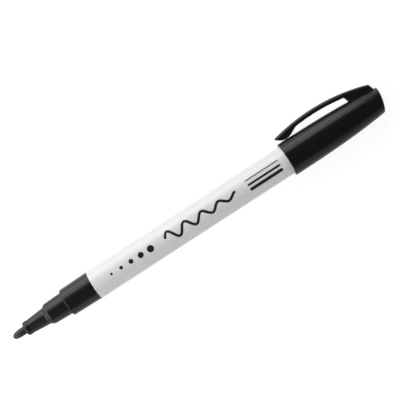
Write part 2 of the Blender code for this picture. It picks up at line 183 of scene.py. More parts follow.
def addNode(tree, kind, settings=None, links=None):
    # settings are the node's own values, or its inputs by name or number
    node = tree.nodes.new(kind)
    for key, value in (settings or {}).items():
        if isinstance(key, str) and hasattr(node, key):
            setattr(node, key, value)
        else:
            node.inputs[key].default_value = value
    for key, source in (links or {}).items():
        tree.links.new(source, node.inputs[key])
    return node


def makeFinish(finish):
    # A Principled surface with its plain values as constants. One noise, with a grain so many mm long along
    # the marker and so many wide, mixes two tones, and sets the roughness where there is a range for it.
    # Another is the bump, "depth" mm deep. Both lie on Object coordinates, or on the attribute they follow.
    made = bpy.data.materials.new(finish["name"])
    made.use_nodes = True
    tree = made.node_tree
    shader = tree.nodes["Principled BSDF"]
    for socket, value in finish["plain"].items():
        shader.inputs[socket].default_value = value
    if "follows" in finish:
        followed = addNode(tree, "ShaderNodeAttribute", {"attribute_name": finish["follows"]})
        place = followed.outputs["Vector"]
    else:
        place = addNode(tree, "ShaderNodeTexCoord").outputs["Object"]
    noise = {}
    for layer in [key for key in ("colour", "relief") if key in finish]:
        along, across = finish[layer]["grain"]
        scale = (perMm(along), perMm(across), perMm(across))
        stretch = addNode(tree, "ShaderNodeMapping", {"Scale": scale}, {"Vector": place})
        clouds = addNode(tree, "ShaderNodeTexNoise", {"Scale": 1.0, "Detail": finish[layer]["detail"]},
                         {"Vector": stretch.outputs["Vector"]})
        noise[layer] = clouds.outputs["Fac"]
    first, second = [linear(tone) for tone in finish["colour"]["tones"]]
    # a Mix node takes its colours at inputs 6 and 7, and gives one at output 2
    tint = addNode(tree, "ShaderNodeMix", {"data_type": "RGBA", 6: first, 7: second}, {0: noise["colour"]})
    tree.links.new(tint.outputs[2], shader.inputs["Base Color"])
    if "gloss" in finish:
        smooth, dull = finish["gloss"]
        gloss = addNode(tree, "ShaderNodeMapRange", {"To Min": smooth, "To Max": dull},
                        {"Value": noise["colour"]})
        tree.links.new(gloss.outputs["Result"], shader.inputs["Roughness"])
    if "relief" in finish:
        strength = finish["relief"]["strength"]
        depth = finish["relief"]["depth"] * mm
        bump = addNode(tree, "ShaderNodeBump", {"Strength": strength, "Distance": depth},
                       {"Height": noise["relief"]})
        tree.links.new(bump.outputs["Normal"], shader.inputs["Normal"])
    return made


# Barrel: a drawn tube with a rolled mouth, a round shoulder and the stepped tail that the cap goes on
barrel = dict(length=88.3, radius=5.18, bore=4.78, mouthRound=0.09, lipRound=0.05, shoulderRound=0.7,
              shoulderBoreRound=0.5, tail=7.0, tailRadius=4.15, tailBore=3.75, tailRound=0.8,
              tailBoreRound=0.6, base=0.7, rootRound=0.15, stepRound=0.2)
# White enamel, rolled and baked on drawn aluminium: an even gloss with a faint orange peel
enamel = dict(name="bakedWhiteEnamel", plain={"IOR": 1.52, "Metallic": 0.0}, gloss=(0.12, 0.17),
              colour=dict(tones=("#DEDEDF", "#DADADA"), grain=(14.0, 14.0), detail=3.0),
              relief=dict(grain=(0.9, 0.9), detail=1.0, depth=0.004, strength=0.5))
tailEnd = barrel["length"] + barrel["tail"]
tailFloor = tailEnd - barrel["base"]
boreEnd = barrel["length"] - barrel["base"]
barrelOutline = rounded([
    (tailFloor, tiny, 0),
    (tailFloor, barrel["tailBore"], barrel["tailBoreRound"]),
    (boreEnd, barrel["tailBore"], barrel["stepRound"]),
    (boreEnd, barrel["bore"], barrel["shoulderBoreRound"]),
    (0, barrel["bore"], barrel["lipRound"]),
    (0, barrel["radius"], barrel["mouthRound"]),
    (barrel["length"], barrel["radius"], barrel["shoulderRound"]),
    (barrel["length"], barrel["tailRadius"], barrel["rootRound"]),
    (tailEnd, barrel["tailRadius"], barrel["tailRound"]),
    (tailEnd, tiny, 0)])
barrelMesh = gridMesh("barrelShell", [turned(barrelOutline, frontOf("barrel"))])
addPiece("barrelShell", barrelMesh, makeFinish(enamel), "barrel", "barrel", "barrel")

# Printed marks: strokes of ink on the upper side of the barrel. A row of dots that grow, a wave that dies
# down, and three rules from bold to fine.
marks = dict(film=0.018, sunk=0.03, edgePower=8, columns=13, endTurn=0.03, endSteps=14, rowGap=0.02,
             digits=6, dots=5, firstDot=7.5, dotStep=3.9, dotRadius=(0.45, 1.25),
             wave=(29.0, 57.5), waves=4.25, waveRise=(2.0, 0.7), waveWidth=0.95, waveSteps=600,
             rules=(62.0, 75.0), ruleWidth=(1.15, 0.75, 0.40), ruleGap=1.75)
# Pad-printing ink: a thin dense black film with a slightly drier surface than the enamel
ink = dict(name="padPrintInk", plain={"IOR": 1.5, "Roughness": 0.42, "Metallic": 0.0},
           colour=dict(tones=("#060607", "#0D0D0F"), grain=(0.35, 0.35), detail=2.0))


def inkStroke(line, width):
    # A film carried along a line on the unrolled barrel, in mm from its mouth and from its top line. Across
    # that line it is flat and thins out at its edges. Its ends are half circles, and it is bent to the
    # barrel's round.
    own = runOf(line)
    run = own[-1]
    roundEnd = width / 2 * (1 - np.cos(np.linspace(marks["endTurn"], np.pi / 2, marks["endSteps"])))
    between = own[np.abs(own - run / 2) < run / 2 - width / 2 - marks["rowGap"]]  # the line's own points
    places = np.concatenate([roundEnd, between, run - roundEnd])
    places = np.unique(np.round(places, marks["digits"]))  # in order, each once
    line = placedAt(line, places)
    nearEnd = np.clip(1 - np.minimum(places, run - places) / (width / 2), 0, 1)
    half = (width / 2 * np.sqrt(1 - nearEnd ** 2))[:, None, None]
    heading = np.gradient(line, axis=0)
    heading = heading / np.linalg.norm(heading, axis=1, keepdims=True)
    square = np.stack([-heading[:, 1], heading[:, 0]], 1)[:, None]
    over = np.linspace(-1, 1, marks["columns"])
    under = over[-2:0:-1]
    lift = np.concatenate([marks["film"] * (1 - over ** marks["edgePower"]), 0 * under - marks["sunk"]])
    spot = line[:, None] + square * half * np.concatenate([over, under])[None, :, None]
    bent = spot[..., 1] / barrel["radius"]
    radius = (barrel["radius"] + lift) * mm
    return np.stack([frontOf("barrel") + spot[..., 0] * mm, axisY + radius * np.sin(bent),
                     axisZ + radius * np.cos(bent)], -1)


strokes = []
dotMiddles = marks["firstDot"] + marks["dotStep"] * np.arange(marks["dots"])
for middle, radius in zip(dotMiddles, np.linspace(*marks["dotRadius"], marks["dots"])):
    strokes.append(inkStroke(np.array([[middle - radius, 0], [middle + radius, 0]]), 2 * radius))
waveShare = np.linspace(0, 1, marks["waveSteps"])
waveRise = np.interp(waveShare, (0, 1), marks["waveRise"])
waveAside = waveRise * np.sin(2 * np.pi * marks["waves"] * waveShare)
waveAlong = np.interp(waveShare, (0, 1), marks["wave"])
strokes.append(inkStroke(np.stack([waveAlong, waveAside], 1), marks["waveWidth"]))
for number, width in enumerate(marks["ruleWidth"]):
    aside = marks["ruleGap"] * (number - 1)
    strokes.append(inkStroke(np.array([[along, aside] for along in marks["rules"]]), width))
addPiece("printedMarks", gridMesh("printedMarks", strokes), makeFinish(ink), "barrel", None)

# Front section: bead, cone, chamfer, sealing land, collar and spigot round one stepped bore
front = dict(bore=1.50, boreEdge=0.12, bead=2.60, beadFront=2.46, beadRound=0.42, beadAt=1.20,
             crestRound=0.30, neck=2.485, neckAt=1.75, neckRound=0.15,
             cone=8.40, coneRadius=3.06, coneRound=0.22,
             landStart=9.70, landFront=3.88, landRound=0.30, land=4.15,
             collar=16.67, collarFront=4.97, collarRound=0.40, collarRoot=0.10,
             collarRear=5.16, collarEnd=27.62, rearRound=0.15,
             spigot=4.70, spigotEnd=35.62, spigotRound=0.30, spigotRoot=0.05,
             socket=3.90, socketFloor=19.47, socketEdge=0.10,
             chamber=2.04, chamberStart=6.62, chamberEdge=0.15, grip=6.0)
# Black polypropylene, moulded: soft flow streaks along the marker, and the grain of a fine spark-eroded
# tool, drawn coarser than real to show. The front section's tool leaves a satin skin, and the cap's a
# glossier one.
flow = dict(tones=("#0B0A0F", "#100F14"), grain=(18.0, 1.2), detail=2.0)
erosion = dict(grain=(0.20, 0.20), detail=1.0, depth=0.005, strength=0.35)
satinPlastic = dict(name="satinBlackPolypropylene", plain={"IOR": 1.43, "Metallic": 0.0},
                    gloss=(0.24, 0.30), colour=flow, relief=erosion)
glossyPlastic = dict(name="glossyBlackPolypropylene", plain={"IOR": 1.38, "Metallic": 0.0},
                     gloss=(0.20, 0.26), colour=flow, relief=erosion)
frontOutline = rounded([
    (0, front["bore"], front["boreEdge"]),
    (0, front["beadFront"], front["beadRound"]),
    (front["beadAt"], front["bead"], front["crestRound"]),
    (front["neckAt"], front["neck"], front["neckRound"]),
    (front["cone"], front["coneRadius"], front["coneRound"]),
    (front["landStart"], front["landFront"], front["landRound"]),
    (front["collar"], front["land"], front["collarRoot"]),
    (front["collar"], front["collarFront"], front["collarRound"]),
    (front["collarEnd"], front["collarRear"], front["rearRound"]),
    (front["collarEnd"], front["spigot"], front["spigotRoot"]),
    (front["spigotEnd"], front["spigot"], front["spigotRound"]),
    (front["spigotEnd"], front["socket"], front["socketEdge"]),
    (front["socketFloor"], front["socket"], front["socketEdge"]),
    (front["socketFloor"], front["chamber"], front["socketEdge"]),
    (front["chamberStart"], front["chamber"], front["chamberEdge"]),
    (front["grip"], front["bore"], front["chamberEdge"])], closed=True)
frontMesh = gridMesh("frontSection", [turned(frontOutline, frontOf("front_section"))], ends=0)
addPiece("frontSection", frontMesh, makeFinish(satinPlastic), "barrel", "front_section", "front_section")

# Nib: half an oval at the point, blunter than an ellipse, then a straight rod. Its skin has shallow ridges,
# two sine waves round it. The point is worn to one side, by the square of the nearness to its end, and the
# rod rests on that side of its bore.
nib = dict(radius=1.42, point=3.4, blunt=2.7, length=24.31, rodLead=0.4, rearRound=0.2, worn=0.15,
           aside=0.06, ridge=0.010, ridges=(37, 23), ridgeShift=1.0, tipTurn=0.03, pointSteps=26)
# Bonded acrylic fibre, ground to a bullet and wet with black paint: a soft sheen, with streaks of fibre
# along it, drawn coarser than real to show
fibre = dict(name="bondedAcrylicFibre", plain={"IOR": 1.45, "Roughness": 0.40, "Metallic": 0.0},
             colour=dict(tones=("#0F0F10", "#262628"), grain=(2.4, 0.10), detail=3.0),
             relief=dict(grain=(2.4, 0.10), detail=3.0, depth=0.02, strength=0.6))
pointTurn = np.linspace(nib["tipTurn"], np.pi / 2, nib["pointSteps"])
pointAlong = nib["point"] * (1 - np.cos(pointTurn))
pointRadius = nib["radius"] * np.sin(pointTurn) ** (2 / nib["blunt"])
rodOutline = rounded([
    (nib["point"] + nib["rodLead"], nib["radius"], 0),
    (nib["length"], nib["radius"], nib["rearRound"]),
    (nib["length"], tiny, 0)])
nibOutline = np.vstack([np.stack([pointAlong, pointRadius], 1), rodOutline])
nibGrid = turned(nibOutline, frontOf("nib"))
ridgeWaves = np.sin(nib["ridges"][0] * turn) + np.sin(nib["ridges"][1] * turn + nib["ridgeShift"])
ridged = 1 - nib["ridge"] * (2 + ridgeWaves) / 4  # the two waves together, brought to 0 to 1
nearness = np.clip(1 - nibOutline[:, :1] / nib["point"], 0, 1)
leaning = (nib["aside"] + nib["worn"] * nearness ** 2) * mm
nibGrid[..., 1] = axisY + (nibGrid[..., 1] - axisY) * ridged - leaning
nibGrid[..., 2] = axisZ + (nibGrid[..., 2] - axisZ) * ridged
addPiece("fibreNib", gridMesh("fibreNib", [nibGrid]), makeFinish(fibre), "nib", "nib", "nib")

# Cap shell: the outside narrows by a power of the depth from the rim, and a dome that leans to the clip
# cuts it off
cap = dict(rim=6.11, bore=5.30, rimRound=0.12, mouthRound=0.20, drop=1.52, dropAt=36.2, power=2.8,
           length=38.72, dome=15.2, lean=2.95, edge=0.32, wall=0.85, wallStart=1.2,
           skirt=10.4, skirtRound=0.05, skirtLead=0.3, cavity=36.12, cavityRound=0.4, cavityLead=0.8,
           insideSteps=14, wallSteps=30, bendSteps=8, crownSteps=18, edgeTries=8)


def capRadius(depth):
    # the rim's radius less a power of the depth
    return cap["rim"] - cap["drop"] * (np.maximum(depth, 0) / cap["dropAt"]) ** cap["power"]


def boreRadius(depth):
    return capRadius(depth) - cap["wall"]  # the outside less the wall


def domeHeight(radius):
    # height, at each turn, of a sphere whose middle lies "lean" mm off the axis, on the clip's side
    offset = radius ** 2 - 2 * radius * cap["lean"] * np.cos(turn) + cap["lean"] ** 2
    return cap["length"] - cap["dome"] + np.sqrt(cap["dome"] ** 2 - offset)


inside = np.linspace(cap["cavity"] - cap["cavityLead"], cap["skirt"] + cap["skirtLead"], cap["insideSteps"])
cavityOutline = rounded([
    (cap["cavity"], tiny, 0),
    (cap["cavity"], boreRadius(cap["cavity"]), cap["cavityRound"]),
    (inside[0], boreRadius(inside[0]), 0)])
mouthOutline = rounded([
    (inside[-1], boreRadius(inside[-1]), 0),
    (cap["skirt"], boreRadius(cap["skirt"]), cap["skirtRound"]),
    (cap["skirt"], cap["bore"], cap["skirtRound"]),
    (0, cap["bore"], cap["mouthRound"]),
    (0, cap["rim"], cap["rimRound"]),
    (cap["wallStart"], capRadius(cap["wallStart"]), 0)])
plainOutline = np.vstack([cavityOutline, np.stack([inside, boreRadius(inside)], 1)[1:-1], mouthOutline])
edgeDepth = np.full(sides, cap["length"])
for closer in range(cap["edgeTries"]):  # to where the wall meets the dome, at each turn
    edgeDepth = domeHeight(capRadius(edgeDepth))
edgeRadius = capRadius(edgeDepth)
wallShare = np.linspace(0, 1, cap["wallSteps"])[1:, None]
wallDepth = cap["wallStart"] + (edgeDepth - cap["edge"] - cap["wallStart"]) * wallShare
crownRadius = (edgeRadius - cap["edge"]) * np.linspace(1, 0, cap["crownSteps"])[:-1, None] + tiny
crownDepth = domeHeight(crownRadius)
# the edge between them is a quadratic curve
bend = np.linspace(0, 1, cap["bendSteps"])[1:-1, None]
fromWall = (1 - bend) ** 2
atEdge = 2 * bend * (1 - bend)
toCrown = bend ** 2
bendDepth = fromWall * wallDepth[-1] + atEdge * edgeDepth + toCrown * crownDepth[0]
bendRadius = fromWall * capRadius(wallDepth[-1]) + atEdge * edgeRadius + toCrown * crownRadius[0]
crown = np.stack([np.vstack([wallDepth, bendDepth, crownDepth]),
                  np.vstack([capRadius(wallDepth), bendRadius, crownRadius])], -1)
shellOutline = np.concatenate([np.repeat(plainOutline[:, None], sides, axis=1), crown])
capMesh = gridMesh("capShell", [turned(shellOutline, frontOf("cap"))])
capPlastic = makeFinish(glossyPlastic)
addPiece("capShell", capMesh, capPlastic, "cap", "cap", "cap")

# Clip: a section with round corners carried between an outer and an inner line. Both are in (depth from the
# rim, reach from the axis).
clip = dict(rise=3.95, bow=66.9, peak=15.5, thickness=1.78, width=4.2, tipWidth=3.4,
            tip=0.15, tipHeight=0.42, tipRound=0.35, leastOpen=0.1,
            planRound=1.3, planPower=2.4, planStart=0.35,
            heelAt=3.9, heelGap=0.03, heelRound=4.4, flank=8.6,
            gapEnd=27.75, gapSlant=0.55, gapRound=0.5, gapEase=3.0, gapBevel=0.65,
            end=37.0, endSlant=0.75, endRound=0.45, cornerLead=2.0, footLead=1.0, sunk=0.45,
            tuckStart=0.6, tuckEnd=0.3,
            rootRound=0.35, rootLead=0.3, rootFade=0.6, endFade=0.8,
            outerRound=1.08, outerShare=0.65, innerRound=0.22, innerShare=0.40, halfShare=0.8,
            noseSteps=34, nosePower=1.7, plainSteps=22, cornerSteps=56, heelSteps=16,
            quarterSteps=8, flatSteps=4, climbSteps=32, climbStart=0.3)


def bowReach(depth, inset=0):
    # an arc of the clip's bow about its peak
    middle = cap["rim"] + clip["rise"] - clip["bow"]
    return middle + np.sqrt((clip["bow"] - inset) ** 2 - (depth - clip["peak"]) ** 2)


def bowLine(start, end, inset=0, count=40):
    # points of that arc at even depths
    depth = np.linspace(start, end, count)
    return np.stack([depth, bowReach(depth, inset)], 1)


def shellLine(start, end, count=8):
    # a line that is sunk into the shell
    depth = np.linspace(start, end, count)
    return np.stack([depth, capRadius(depth) - clip["sunk"]], 1)


heel = np.array([clip["heelAt"], cap["rim"] + clip["heelGap"] + clip["heelRound"]])


def heelTangent(point, side):
    # Where a line from the point touches the heel's round, as an angle from the lowest point of that round.
    # The side is -1 for a point nearer the rim than the heel, and 1 for one past it.
    away = point - heel
    return math.atan2(away[0], -away[1]) - side * math.acos(clip["heelRound"] / np.linalg.norm(away))


def spread(line, shares):
    return placedAt(line, shares * runOf(line)[-1])  # points at these shares of a line's length


tipLow = np.array([clip["tip"], bowReach(clip["tip"]) - clip["tipHeight"]])
flank = np.array([clip["flank"], bowReach(clip["flank"], clip["thickness"])])
heelTurn = np.linspace(heelTangent(tipLow, -1), heelTangent(flank, 1), clip["heelSteps"])
heelArc = heel + clip["heelRound"] * np.stack([np.sin(heelTurn), -np.cos(heelTurn)], 1)
gapLead = clip["gapEnd"] - clip["cornerLead"]
gapFoot = clip["gapEnd"] + clip["gapSlant"]
rootStart = gapFoot + clip["footLead"]
endLead = clip["end"] - clip["cornerLead"]
tuckStart = clip["end"] - clip["tuckStart"]
tuckEnd = clip["end"] - clip["tuckEnd"]
gapCorner = rounded([
    (gapLead, bowReach(gapLead, clip["thickness"]), 0),
    (clip["gapEnd"], bowReach(clip["gapEnd"], clip["thickness"]), clip["gapRound"]),
    (gapFoot, capRadius(gapFoot) - clip["sunk"], 0)])
endCorner = rounded([
    (endLead, bowReach(endLead), 0),
    (clip["end"], bowReach(clip["end"]), clip["endRound"]),
    (clip["end"] + clip["endSlant"], capRadius(clip["end"]) - clip["sunk"], 0)])
noseShares = np.linspace(0, 1, clip["noseSteps"]) ** clip["nosePower"]
plainShares = np.linspace(0, 1, clip["plainSteps"])[1:]
cornerShares = np.linspace(0, 1, clip["cornerSteps"])[1:]
# each stretch has its outer line and its inner one, with as many points
stretches = [
    (noseShares, bowLine(clip["tip"], clip["flank"]), np.vstack([tipLow, heelArc, flank])),
    (plainShares, bowLine(clip["flank"], gapLead), bowLine(clip["flank"], gapLead, clip["thickness"])),
    (cornerShares, bowLine(gapLead, rootStart), gapCorner),
    (plainShares, bowLine(rootStart, endLead), shellLine(gapFoot, tuckStart)),
    (cornerShares, endCorner, shellLine(tuckStart, tuckEnd))]
outerLine = np.vstack([spread(outer, shares) for shares, outer, inner in stretches])
innerLine = np.vstack([spread(inner, shares) for shares, outer, inner in stretches])

# the nose closes in a round, seen from the side and from above
middleLine = (outerLine + innerLine) / 2
fromTip = middleLine[:, :1] - clip["tip"]
noseOpen = np.sqrt(1 - (1 - np.clip(fromTip / clip["tipRound"], 0, 1)) ** 2)
noseOpen = np.maximum(noseOpen, clip["leastOpen"])
outerLine = middleLine + (outerLine - middleLine) * noseOpen
innerLine = middleLine + (innerLine - middleLine) * noseOpen
height = np.linalg.norm(outerLine - innerLine, axis=1, keepdims=True)
rise = (outerLine - innerLine) / height
planOpen = np.sqrt(1 - (1 - np.clip(fromTip / clip["planRound"], 0, 1)) ** clip["planPower"])
planOpen = clip["planStart"] + (1 - clip["planStart"]) * planOpen
clipWidth = clip["tipWidth"] + (clip["width"] - clip["tipWidth"]) * middleLine[:, :1] / clip["end"]
half = clipWidth / 2 * planOpen * noseOpen

# the section: half the inner face, its corner, the side, the outer corner and half the outer face, then the
# same mirrored
most = clip["halfShare"] * half
outerRound = np.minimum(clip["outerRound"], np.minimum(clip["outerShare"] * height, most))
innerRound = np.minimum(clip["innerRound"], np.minimum(clip["innerShare"] * height, most))
quarter = np.linspace(0, np.pi / 2, clip["quarterSteps"])[None]
flat = np.linspace(0, 1, clip["flatSteps"])[None, :-1]
climb = np.linspace(0, 1, clip["climbSteps"])[None, 1:-1]
climb = climb * (clip["climbStart"] + (1 - clip["climbStart"]) * climb)  # closer steps near the shell
across = np.hstack([
    (half - innerRound) * flat,
    half - innerRound + innerRound * np.sin(quarter),
    half + 0 * climb,
    half - outerRound + outerRound * np.cos(quarter),
    (half - outerRound) * flat[:, ::-1]])
up = np.hstack([
    0 * half * flat,
    innerRound - innerRound * np.cos(quarter),
    innerRound + (height - innerRound - outerRound) * climb,
    height - outerRound + outerRound * np.sin(quarter),
    height + 0 * flat])
across = np.hstack([across, -across[:, -2:0:-1]])
up = np.hstack([up, up[:, -2:0:-1]])
depth = innerLine[:, :1] + rise[:, :1] * up
reach = innerLine[:, 1:] + rise[:, 1:] * up

# the wall at the gap's end is bevelled from its middle, a fillet stands out where the clip grows from the
# shell, by the round of the height above it, and the root's underside follows the shell's round
nearGapEnd = ease(1 - np.abs(innerLine[:, :1] - clip["gapEnd"]) / clip["gapEase"])
depth = depth + clip["gapBevel"] * np.abs(across) * nearGapEnd * (1 - up / height)
shell = capRadius(depth)
rooted = np.clip((depth - clip["gapEnd"] + clip["rootLead"]) / clip["rootFade"], 0, 1)
beforeEnd = np.clip((clip["end"] - depth) / clip["endFade"], 0, 1)
low = np.clip(1 - (np.hypot(reach, across) - shell) / clip["rootRound"], 0, 1)
fillet = clip["rootRound"] * (1 - np.sqrt(1 - low ** 2))
across = across + np.sign(across) * fillet * rooted * beforeEnd
shellFall = shell - np.sqrt(shell ** 2 - across ** 2)
nearShell = np.clip(1 - (np.hypot(reach, across) - shell), 0, 1)
reach = reach - shellFall * rooted * nearShell
clipGrid = np.stack([frontOf("cap") + depth * mm, axisY + reach * mm, axisZ + across * mm], -1)
addPiece("capClip", gridMesh("capClip", [clipGrid]), capPlastic, "cap", "cap", "cap")

# Inner cap: a liner that fits the tail and the sealing land
liner = dict(length=23.22, base=0.8, bore=4.23, outer=4.85, flange=5.116, flangeLength=1.4, seal=7.2,
             deep=9.4, deepOuter=4.4045, deepBore=3.7845, endOuter=3.9545, endBore=3.3345,
             boreRound=0.5, endRound=0.4, lipRound=0.2, flangeEdge=0.1)
# Natural polypropylene: milky white and waxy, a little uneven in tone
milky = dict(name="naturalPolypropylene", plain={"IOR": 1.49, "Metallic": 0.0}, gloss=(0.36, 0.50),
             colour=dict(tones=("#E6E7E2", "#D6D8D2"), grain=(3.0, 3.0), detail=3.0))
linerFloor = liner["length"] - liner["base"]
linerOutline = rounded([
    (linerFloor, tiny, 0),
    (linerFloor, liner["endBore"], liner["endRound"]),
    (liner["deep"], liner["deepBore"], liner["boreRound"]),
    (liner["seal"], liner["bore"], liner["boreRound"]),
    (0, liner["bore"], liner["lipRound"]),
    (0, liner["flange"], liner["lipRound"]),
    (liner["flangeLength"], liner["flange"], liner["flangeEdge"]),
    (liner["flangeLength"], liner["outer"], liner["flangeEdge"]),
    (liner["seal"], liner["outer"], liner["endRound"]),
    (liner["deep"], liner["deepOuter"], liner["endRound"]),
    (liner["length"], liner["endOuter"], liner["endRound"]),
    (liner["length"], tiny, 0)])
milkyPlastic = makeFinish(milky)
linerMesh = gridMesh("innerCapLiner", [turned(linerOutline, frontOf("inner_cap"))])
addPiece("innerCapLiner", linerMesh, milkyPlastic, "cap", "inner_cap", "inner_cap")

# Valve gasket: a pressed washer with soft edges
gasket = dict(hole=1.58, radius=3.82, thickness=1.2, edge=0.18)
# Nitrile rubber, pressed: matt black with a fine cloudy bloom
rubber = dict(name="pressedNitrileRubber", plain={"IOR": 1.52, "Roughness": 0.72, "Metallic": 0.0},
              colour=dict(tones=("#1A1A1A", "#262625"), grain=(0.6, 0.6), detail=3.0),
              relief=dict(grain=(0.12, 0.12), detail=1.0, depth=0.006, strength=0.5))
gasketOutline = rounded([
    (0, gasket["hole"], gasket["edge"]),
    (0, gasket["radius"], gasket["edge"]),
    (gasket["thickness"], gasket["radius"], gasket["edge"]),
    (gasket["thickness"], gasket["hole"], gasket["edge"])], closed=True)
gasketMesh = gridMesh("gasketWasher", [turned(gasketOutline, frontOf("valve_gasket"))], ends=0)
addPiece("gasketWasher", gasketMesh, makeFinish(rubber), "barrel", "valve_gasket", "valve_gasket")

# Valve body: a cup whose floor is the orifice with its conical seat
cup = dict(orifice=1.15, radius=3.82, length=8.0, tube=3.02, seatStart=0.7, seatEnd=1.65, seat=2.10,
           edge=0.15, seatEdge=0.05)
cupOutline = rounded([
    (0, cup["orifice"], cup["edge"]),
    (0, cup["radius"], 2 * cup["edge"]),
    (cup["length"], cup["radius"], cup["edge"]),
    (cup["length"], cup["tube"], cup["edge"]),
    (cup["seatEnd"], cup["tube"], cup["edge"]),
    (cup["seatEnd"], cup["seat"], cup["seatEdge"]),
    (cup["seatStart"], cup["orifice"], cup["seatEdge"])], closed=True)
cupMesh = gridMesh("valveCup", [turned(cupOutline, frontOf("valve_body"))], ends=0)
addPiece("valveCup", cupMesh, milkyPlastic, "barrel", "valve_body", "valve_body")

# Valve stem: the pin that the nib pushes, a conical head for the seat, and a guide inside the coil
stem = dict(pin=0.75, coneStart=1.741, headStart=2.991, head=2.0, headEnd=3.891, length=9.891, edge=0.12)
# Natural acetal, moulded and slippery: a dense cream white with a low even sheen
acetal = dict(name="naturalAcetal", plain={"IOR": 1.48, "Metallic": 0.0}, gloss=(0.28, 0.36),
              colour=dict(tones=("#E9E8E1", "#E1DFD6"), grain=(1.6, 1.6), detail=2.0))
stemOutline = rounded([
    (0, tiny, 0),
    (0, stem["pin"], stem["edge"]),
    (stem["coneStart"], stem["pin"], stem["edge"]),
    (stem["headStart"], stem["head"], stem["edge"]),
    (stem["headEnd"], stem["head"], stem["edge"]),
    (stem["headEnd"], stem["pin"], stem["edge"]),
    (stem["length"], stem["pin"], 2 * stem["edge"]),
    (stem["length"], tiny, 0)])
stemMesh = gridMesh("valvePoppet", [turned(stemOutline, frontOf("valve_stem"))])
addPiece("valvePoppet", stemMesh, makeFinish(acetal), "valve_stem", "valve_stem", "valve_stem")

# Valve spring: a wire carried along a helix. Its pitch eases from closed turns at both ends to open ones
# between them.
coil = dict(radius=1.25, wire=0.20, turns=7.0, closed=0.9, ease=0.5, closedPitch=0.43, steps=400,
            columns=16)
# Drawn stainless wire: bright, with fine die lines that run along the wire, drawn coarser than real to show
wire = dict(name="drawnStainlessWire", plain={"Metallic": 1.0}, gloss=(0.22, 0.38), follows="straightWire",
            colour=dict(tones=("#C3C4C7", "#A9ABAE"), grain=(4.0, 0.06), detail=2.0))
coilLow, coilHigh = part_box("valve_spring")
wireRadius = coil["wire"] * mm
closedPitch = coil["closedPitch"] * mm
coilTurn = np.linspace(0, coil["turns"], coil["steps"])
turnStep = coilTurn[1]
fromEnd = np.minimum(coilTurn, coil["turns"] - coilTurn)
opened = ease((fromEnd - coil["closed"]) / coil["ease"])
openRun = coilHigh.x - coilLow.x - 2 * wireRadius - closedPitch * coil["turns"]
openPitch = openRun / (np.sum((opened[1:] + opened[:-1]) / 2) * turnStep)
pitch = closedPitch + openPitch * opened
coilAlong = np.concatenate([[0], np.cumsum((pitch[1:] + pitch[:-1]) / 2 * turnStep)])
coilAngle = 2 * np.pi * coilTurn
outward = np.stack([0 * coilAngle, np.cos(coilAngle), np.sin(coilAngle)], 1)
coilPath = np.array([coilLow.x + wireRadius, axisY, axisZ]) + coil["radius"] * mm * outward
coilPath[:, 0] += coilAlong
heading = np.gradient(coilPath, axis=0)
heading = heading / np.linalg.norm(heading, axis=1, keepdims=True)
sideways = np.cross(heading, outward)
wireTurn = np.linspace(0, 2 * np.pi, coil["columns"], endpoint=False)[None, :, None]
wireRing = np.cos(wireTurn) * outward[:, None] + np.sin(wireTurn) * sideways[:, None]
springMesh = gridMesh("valveSpring", [coilPath[:, None] + wireRadius * wireRing])
# the same wire pulled straight, for its die lines
wireRun = runOf(coilPath)
straightWire = np.zeros((coil["steps"], coil["columns"], 3))
straightWire[..., 0] = wireRun[:, None]
straightWire[..., 1] = wireRadius * np.cos(wireTurn[..., 0])
straightWire[..., 2] = wireRadius * np.sin(wireTurn[..., 0])
straightWire = np.vstack([straightWire.reshape(-1, 3), [[0, 0, 0], [wireRun[-1], 0, 0]]])
wirePlace = springMesh.attributes.new("straightWire", "FLOAT_VECTOR", "POINT")
wirePlace.data.foreach_set("vector", straightWire.ravel())
spring = addPiece("valveSpring", springMesh, makeFinish(wire), "barrel", "valve_spring", "valve_spring")
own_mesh(spring)

# Spring cage: the CAD solid has the right form, so it stays and takes the valve body's milky plastic
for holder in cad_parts["spring_cage"].material_slots:
    holder.material = milkyPlastic

# Mixing ball: half a circle turned about a line through its own middle
ball = dict(endTurn=0.02, steps=72)
# Polished bearing steel, tumbled in paint: a mirror with faint dull scuffs
steel = dict(name="polishedBearingSteel", plain={"Metallic": 1.0}, gloss=(0.10, 0.26),
             colour=dict(tones=("#C9CACC", "#B4B5B8"), grain=(1.1, 1.1), detail=6.0))
ballLow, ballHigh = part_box("mixing_ball")
ballRadius = (ballHigh.x - ballLow.x) / 2 / mm
ballTurn = np.linspace(ball["endTurn"], np.pi - ball["endTurn"], ball["steps"])
ballOutline = ballRadius * np.stack([1 - np.cos(ballTurn), np.sin(ballTurn)], 1)
ballCentre = ((ballLow.y + ballHigh.y) / 2, (ballLow.z + ballHigh.z) / 2)
ballMesh = gridMesh("mixingBall", [turned(ballOutline, ballLow.x, ballCentre)])
addPiece("mixingBall", ballMesh, makeFinish(steel), "mixing_ball", "mixing_ball", "mixing_ball")

# Floor: a pale sweep that rises all round, by a quarter of an oval, to be the background from every side
sweep = dict(rings=(0.01, 0.3, 0.6, 0.9), out=1.5, height=0.58, drop=0.00003, around=96, climb=16)
around = np.linspace(0, 2 * np.pi, sweep["around"], endpoint=False)
climbTurn = np.linspace(0, np.pi / 2, sweep["climb"])[1:]
flatEnd = sweep["rings"][-1]
sweepOut = np.concatenate([sweep["rings"], flatEnd + (sweep["out"] - flatEnd) * np.sin(climbTurn)])[:, None]
sweepUp = np.concatenate([0 * np.array(sweep["rings"]), sweep["height"] * (1 - np.cos(climbTurn))])
sweepUp = (sweepUp - sweep["drop"])[:, None] + 0 * around
sweepGrid = np.stack([sweepOut * np.cos(around), sweepOut * np.sin(around), sweepUp], -1)
sweepMesh = gridMesh("paleSweep", [sweepGrid], ends=1)
sweepMesh.flip_normals()  # it is seen from within
floor = bpy.data.objects.new("paleSweep", sweepMesh)
bpy.context.scene.collection.objects.link(floor)
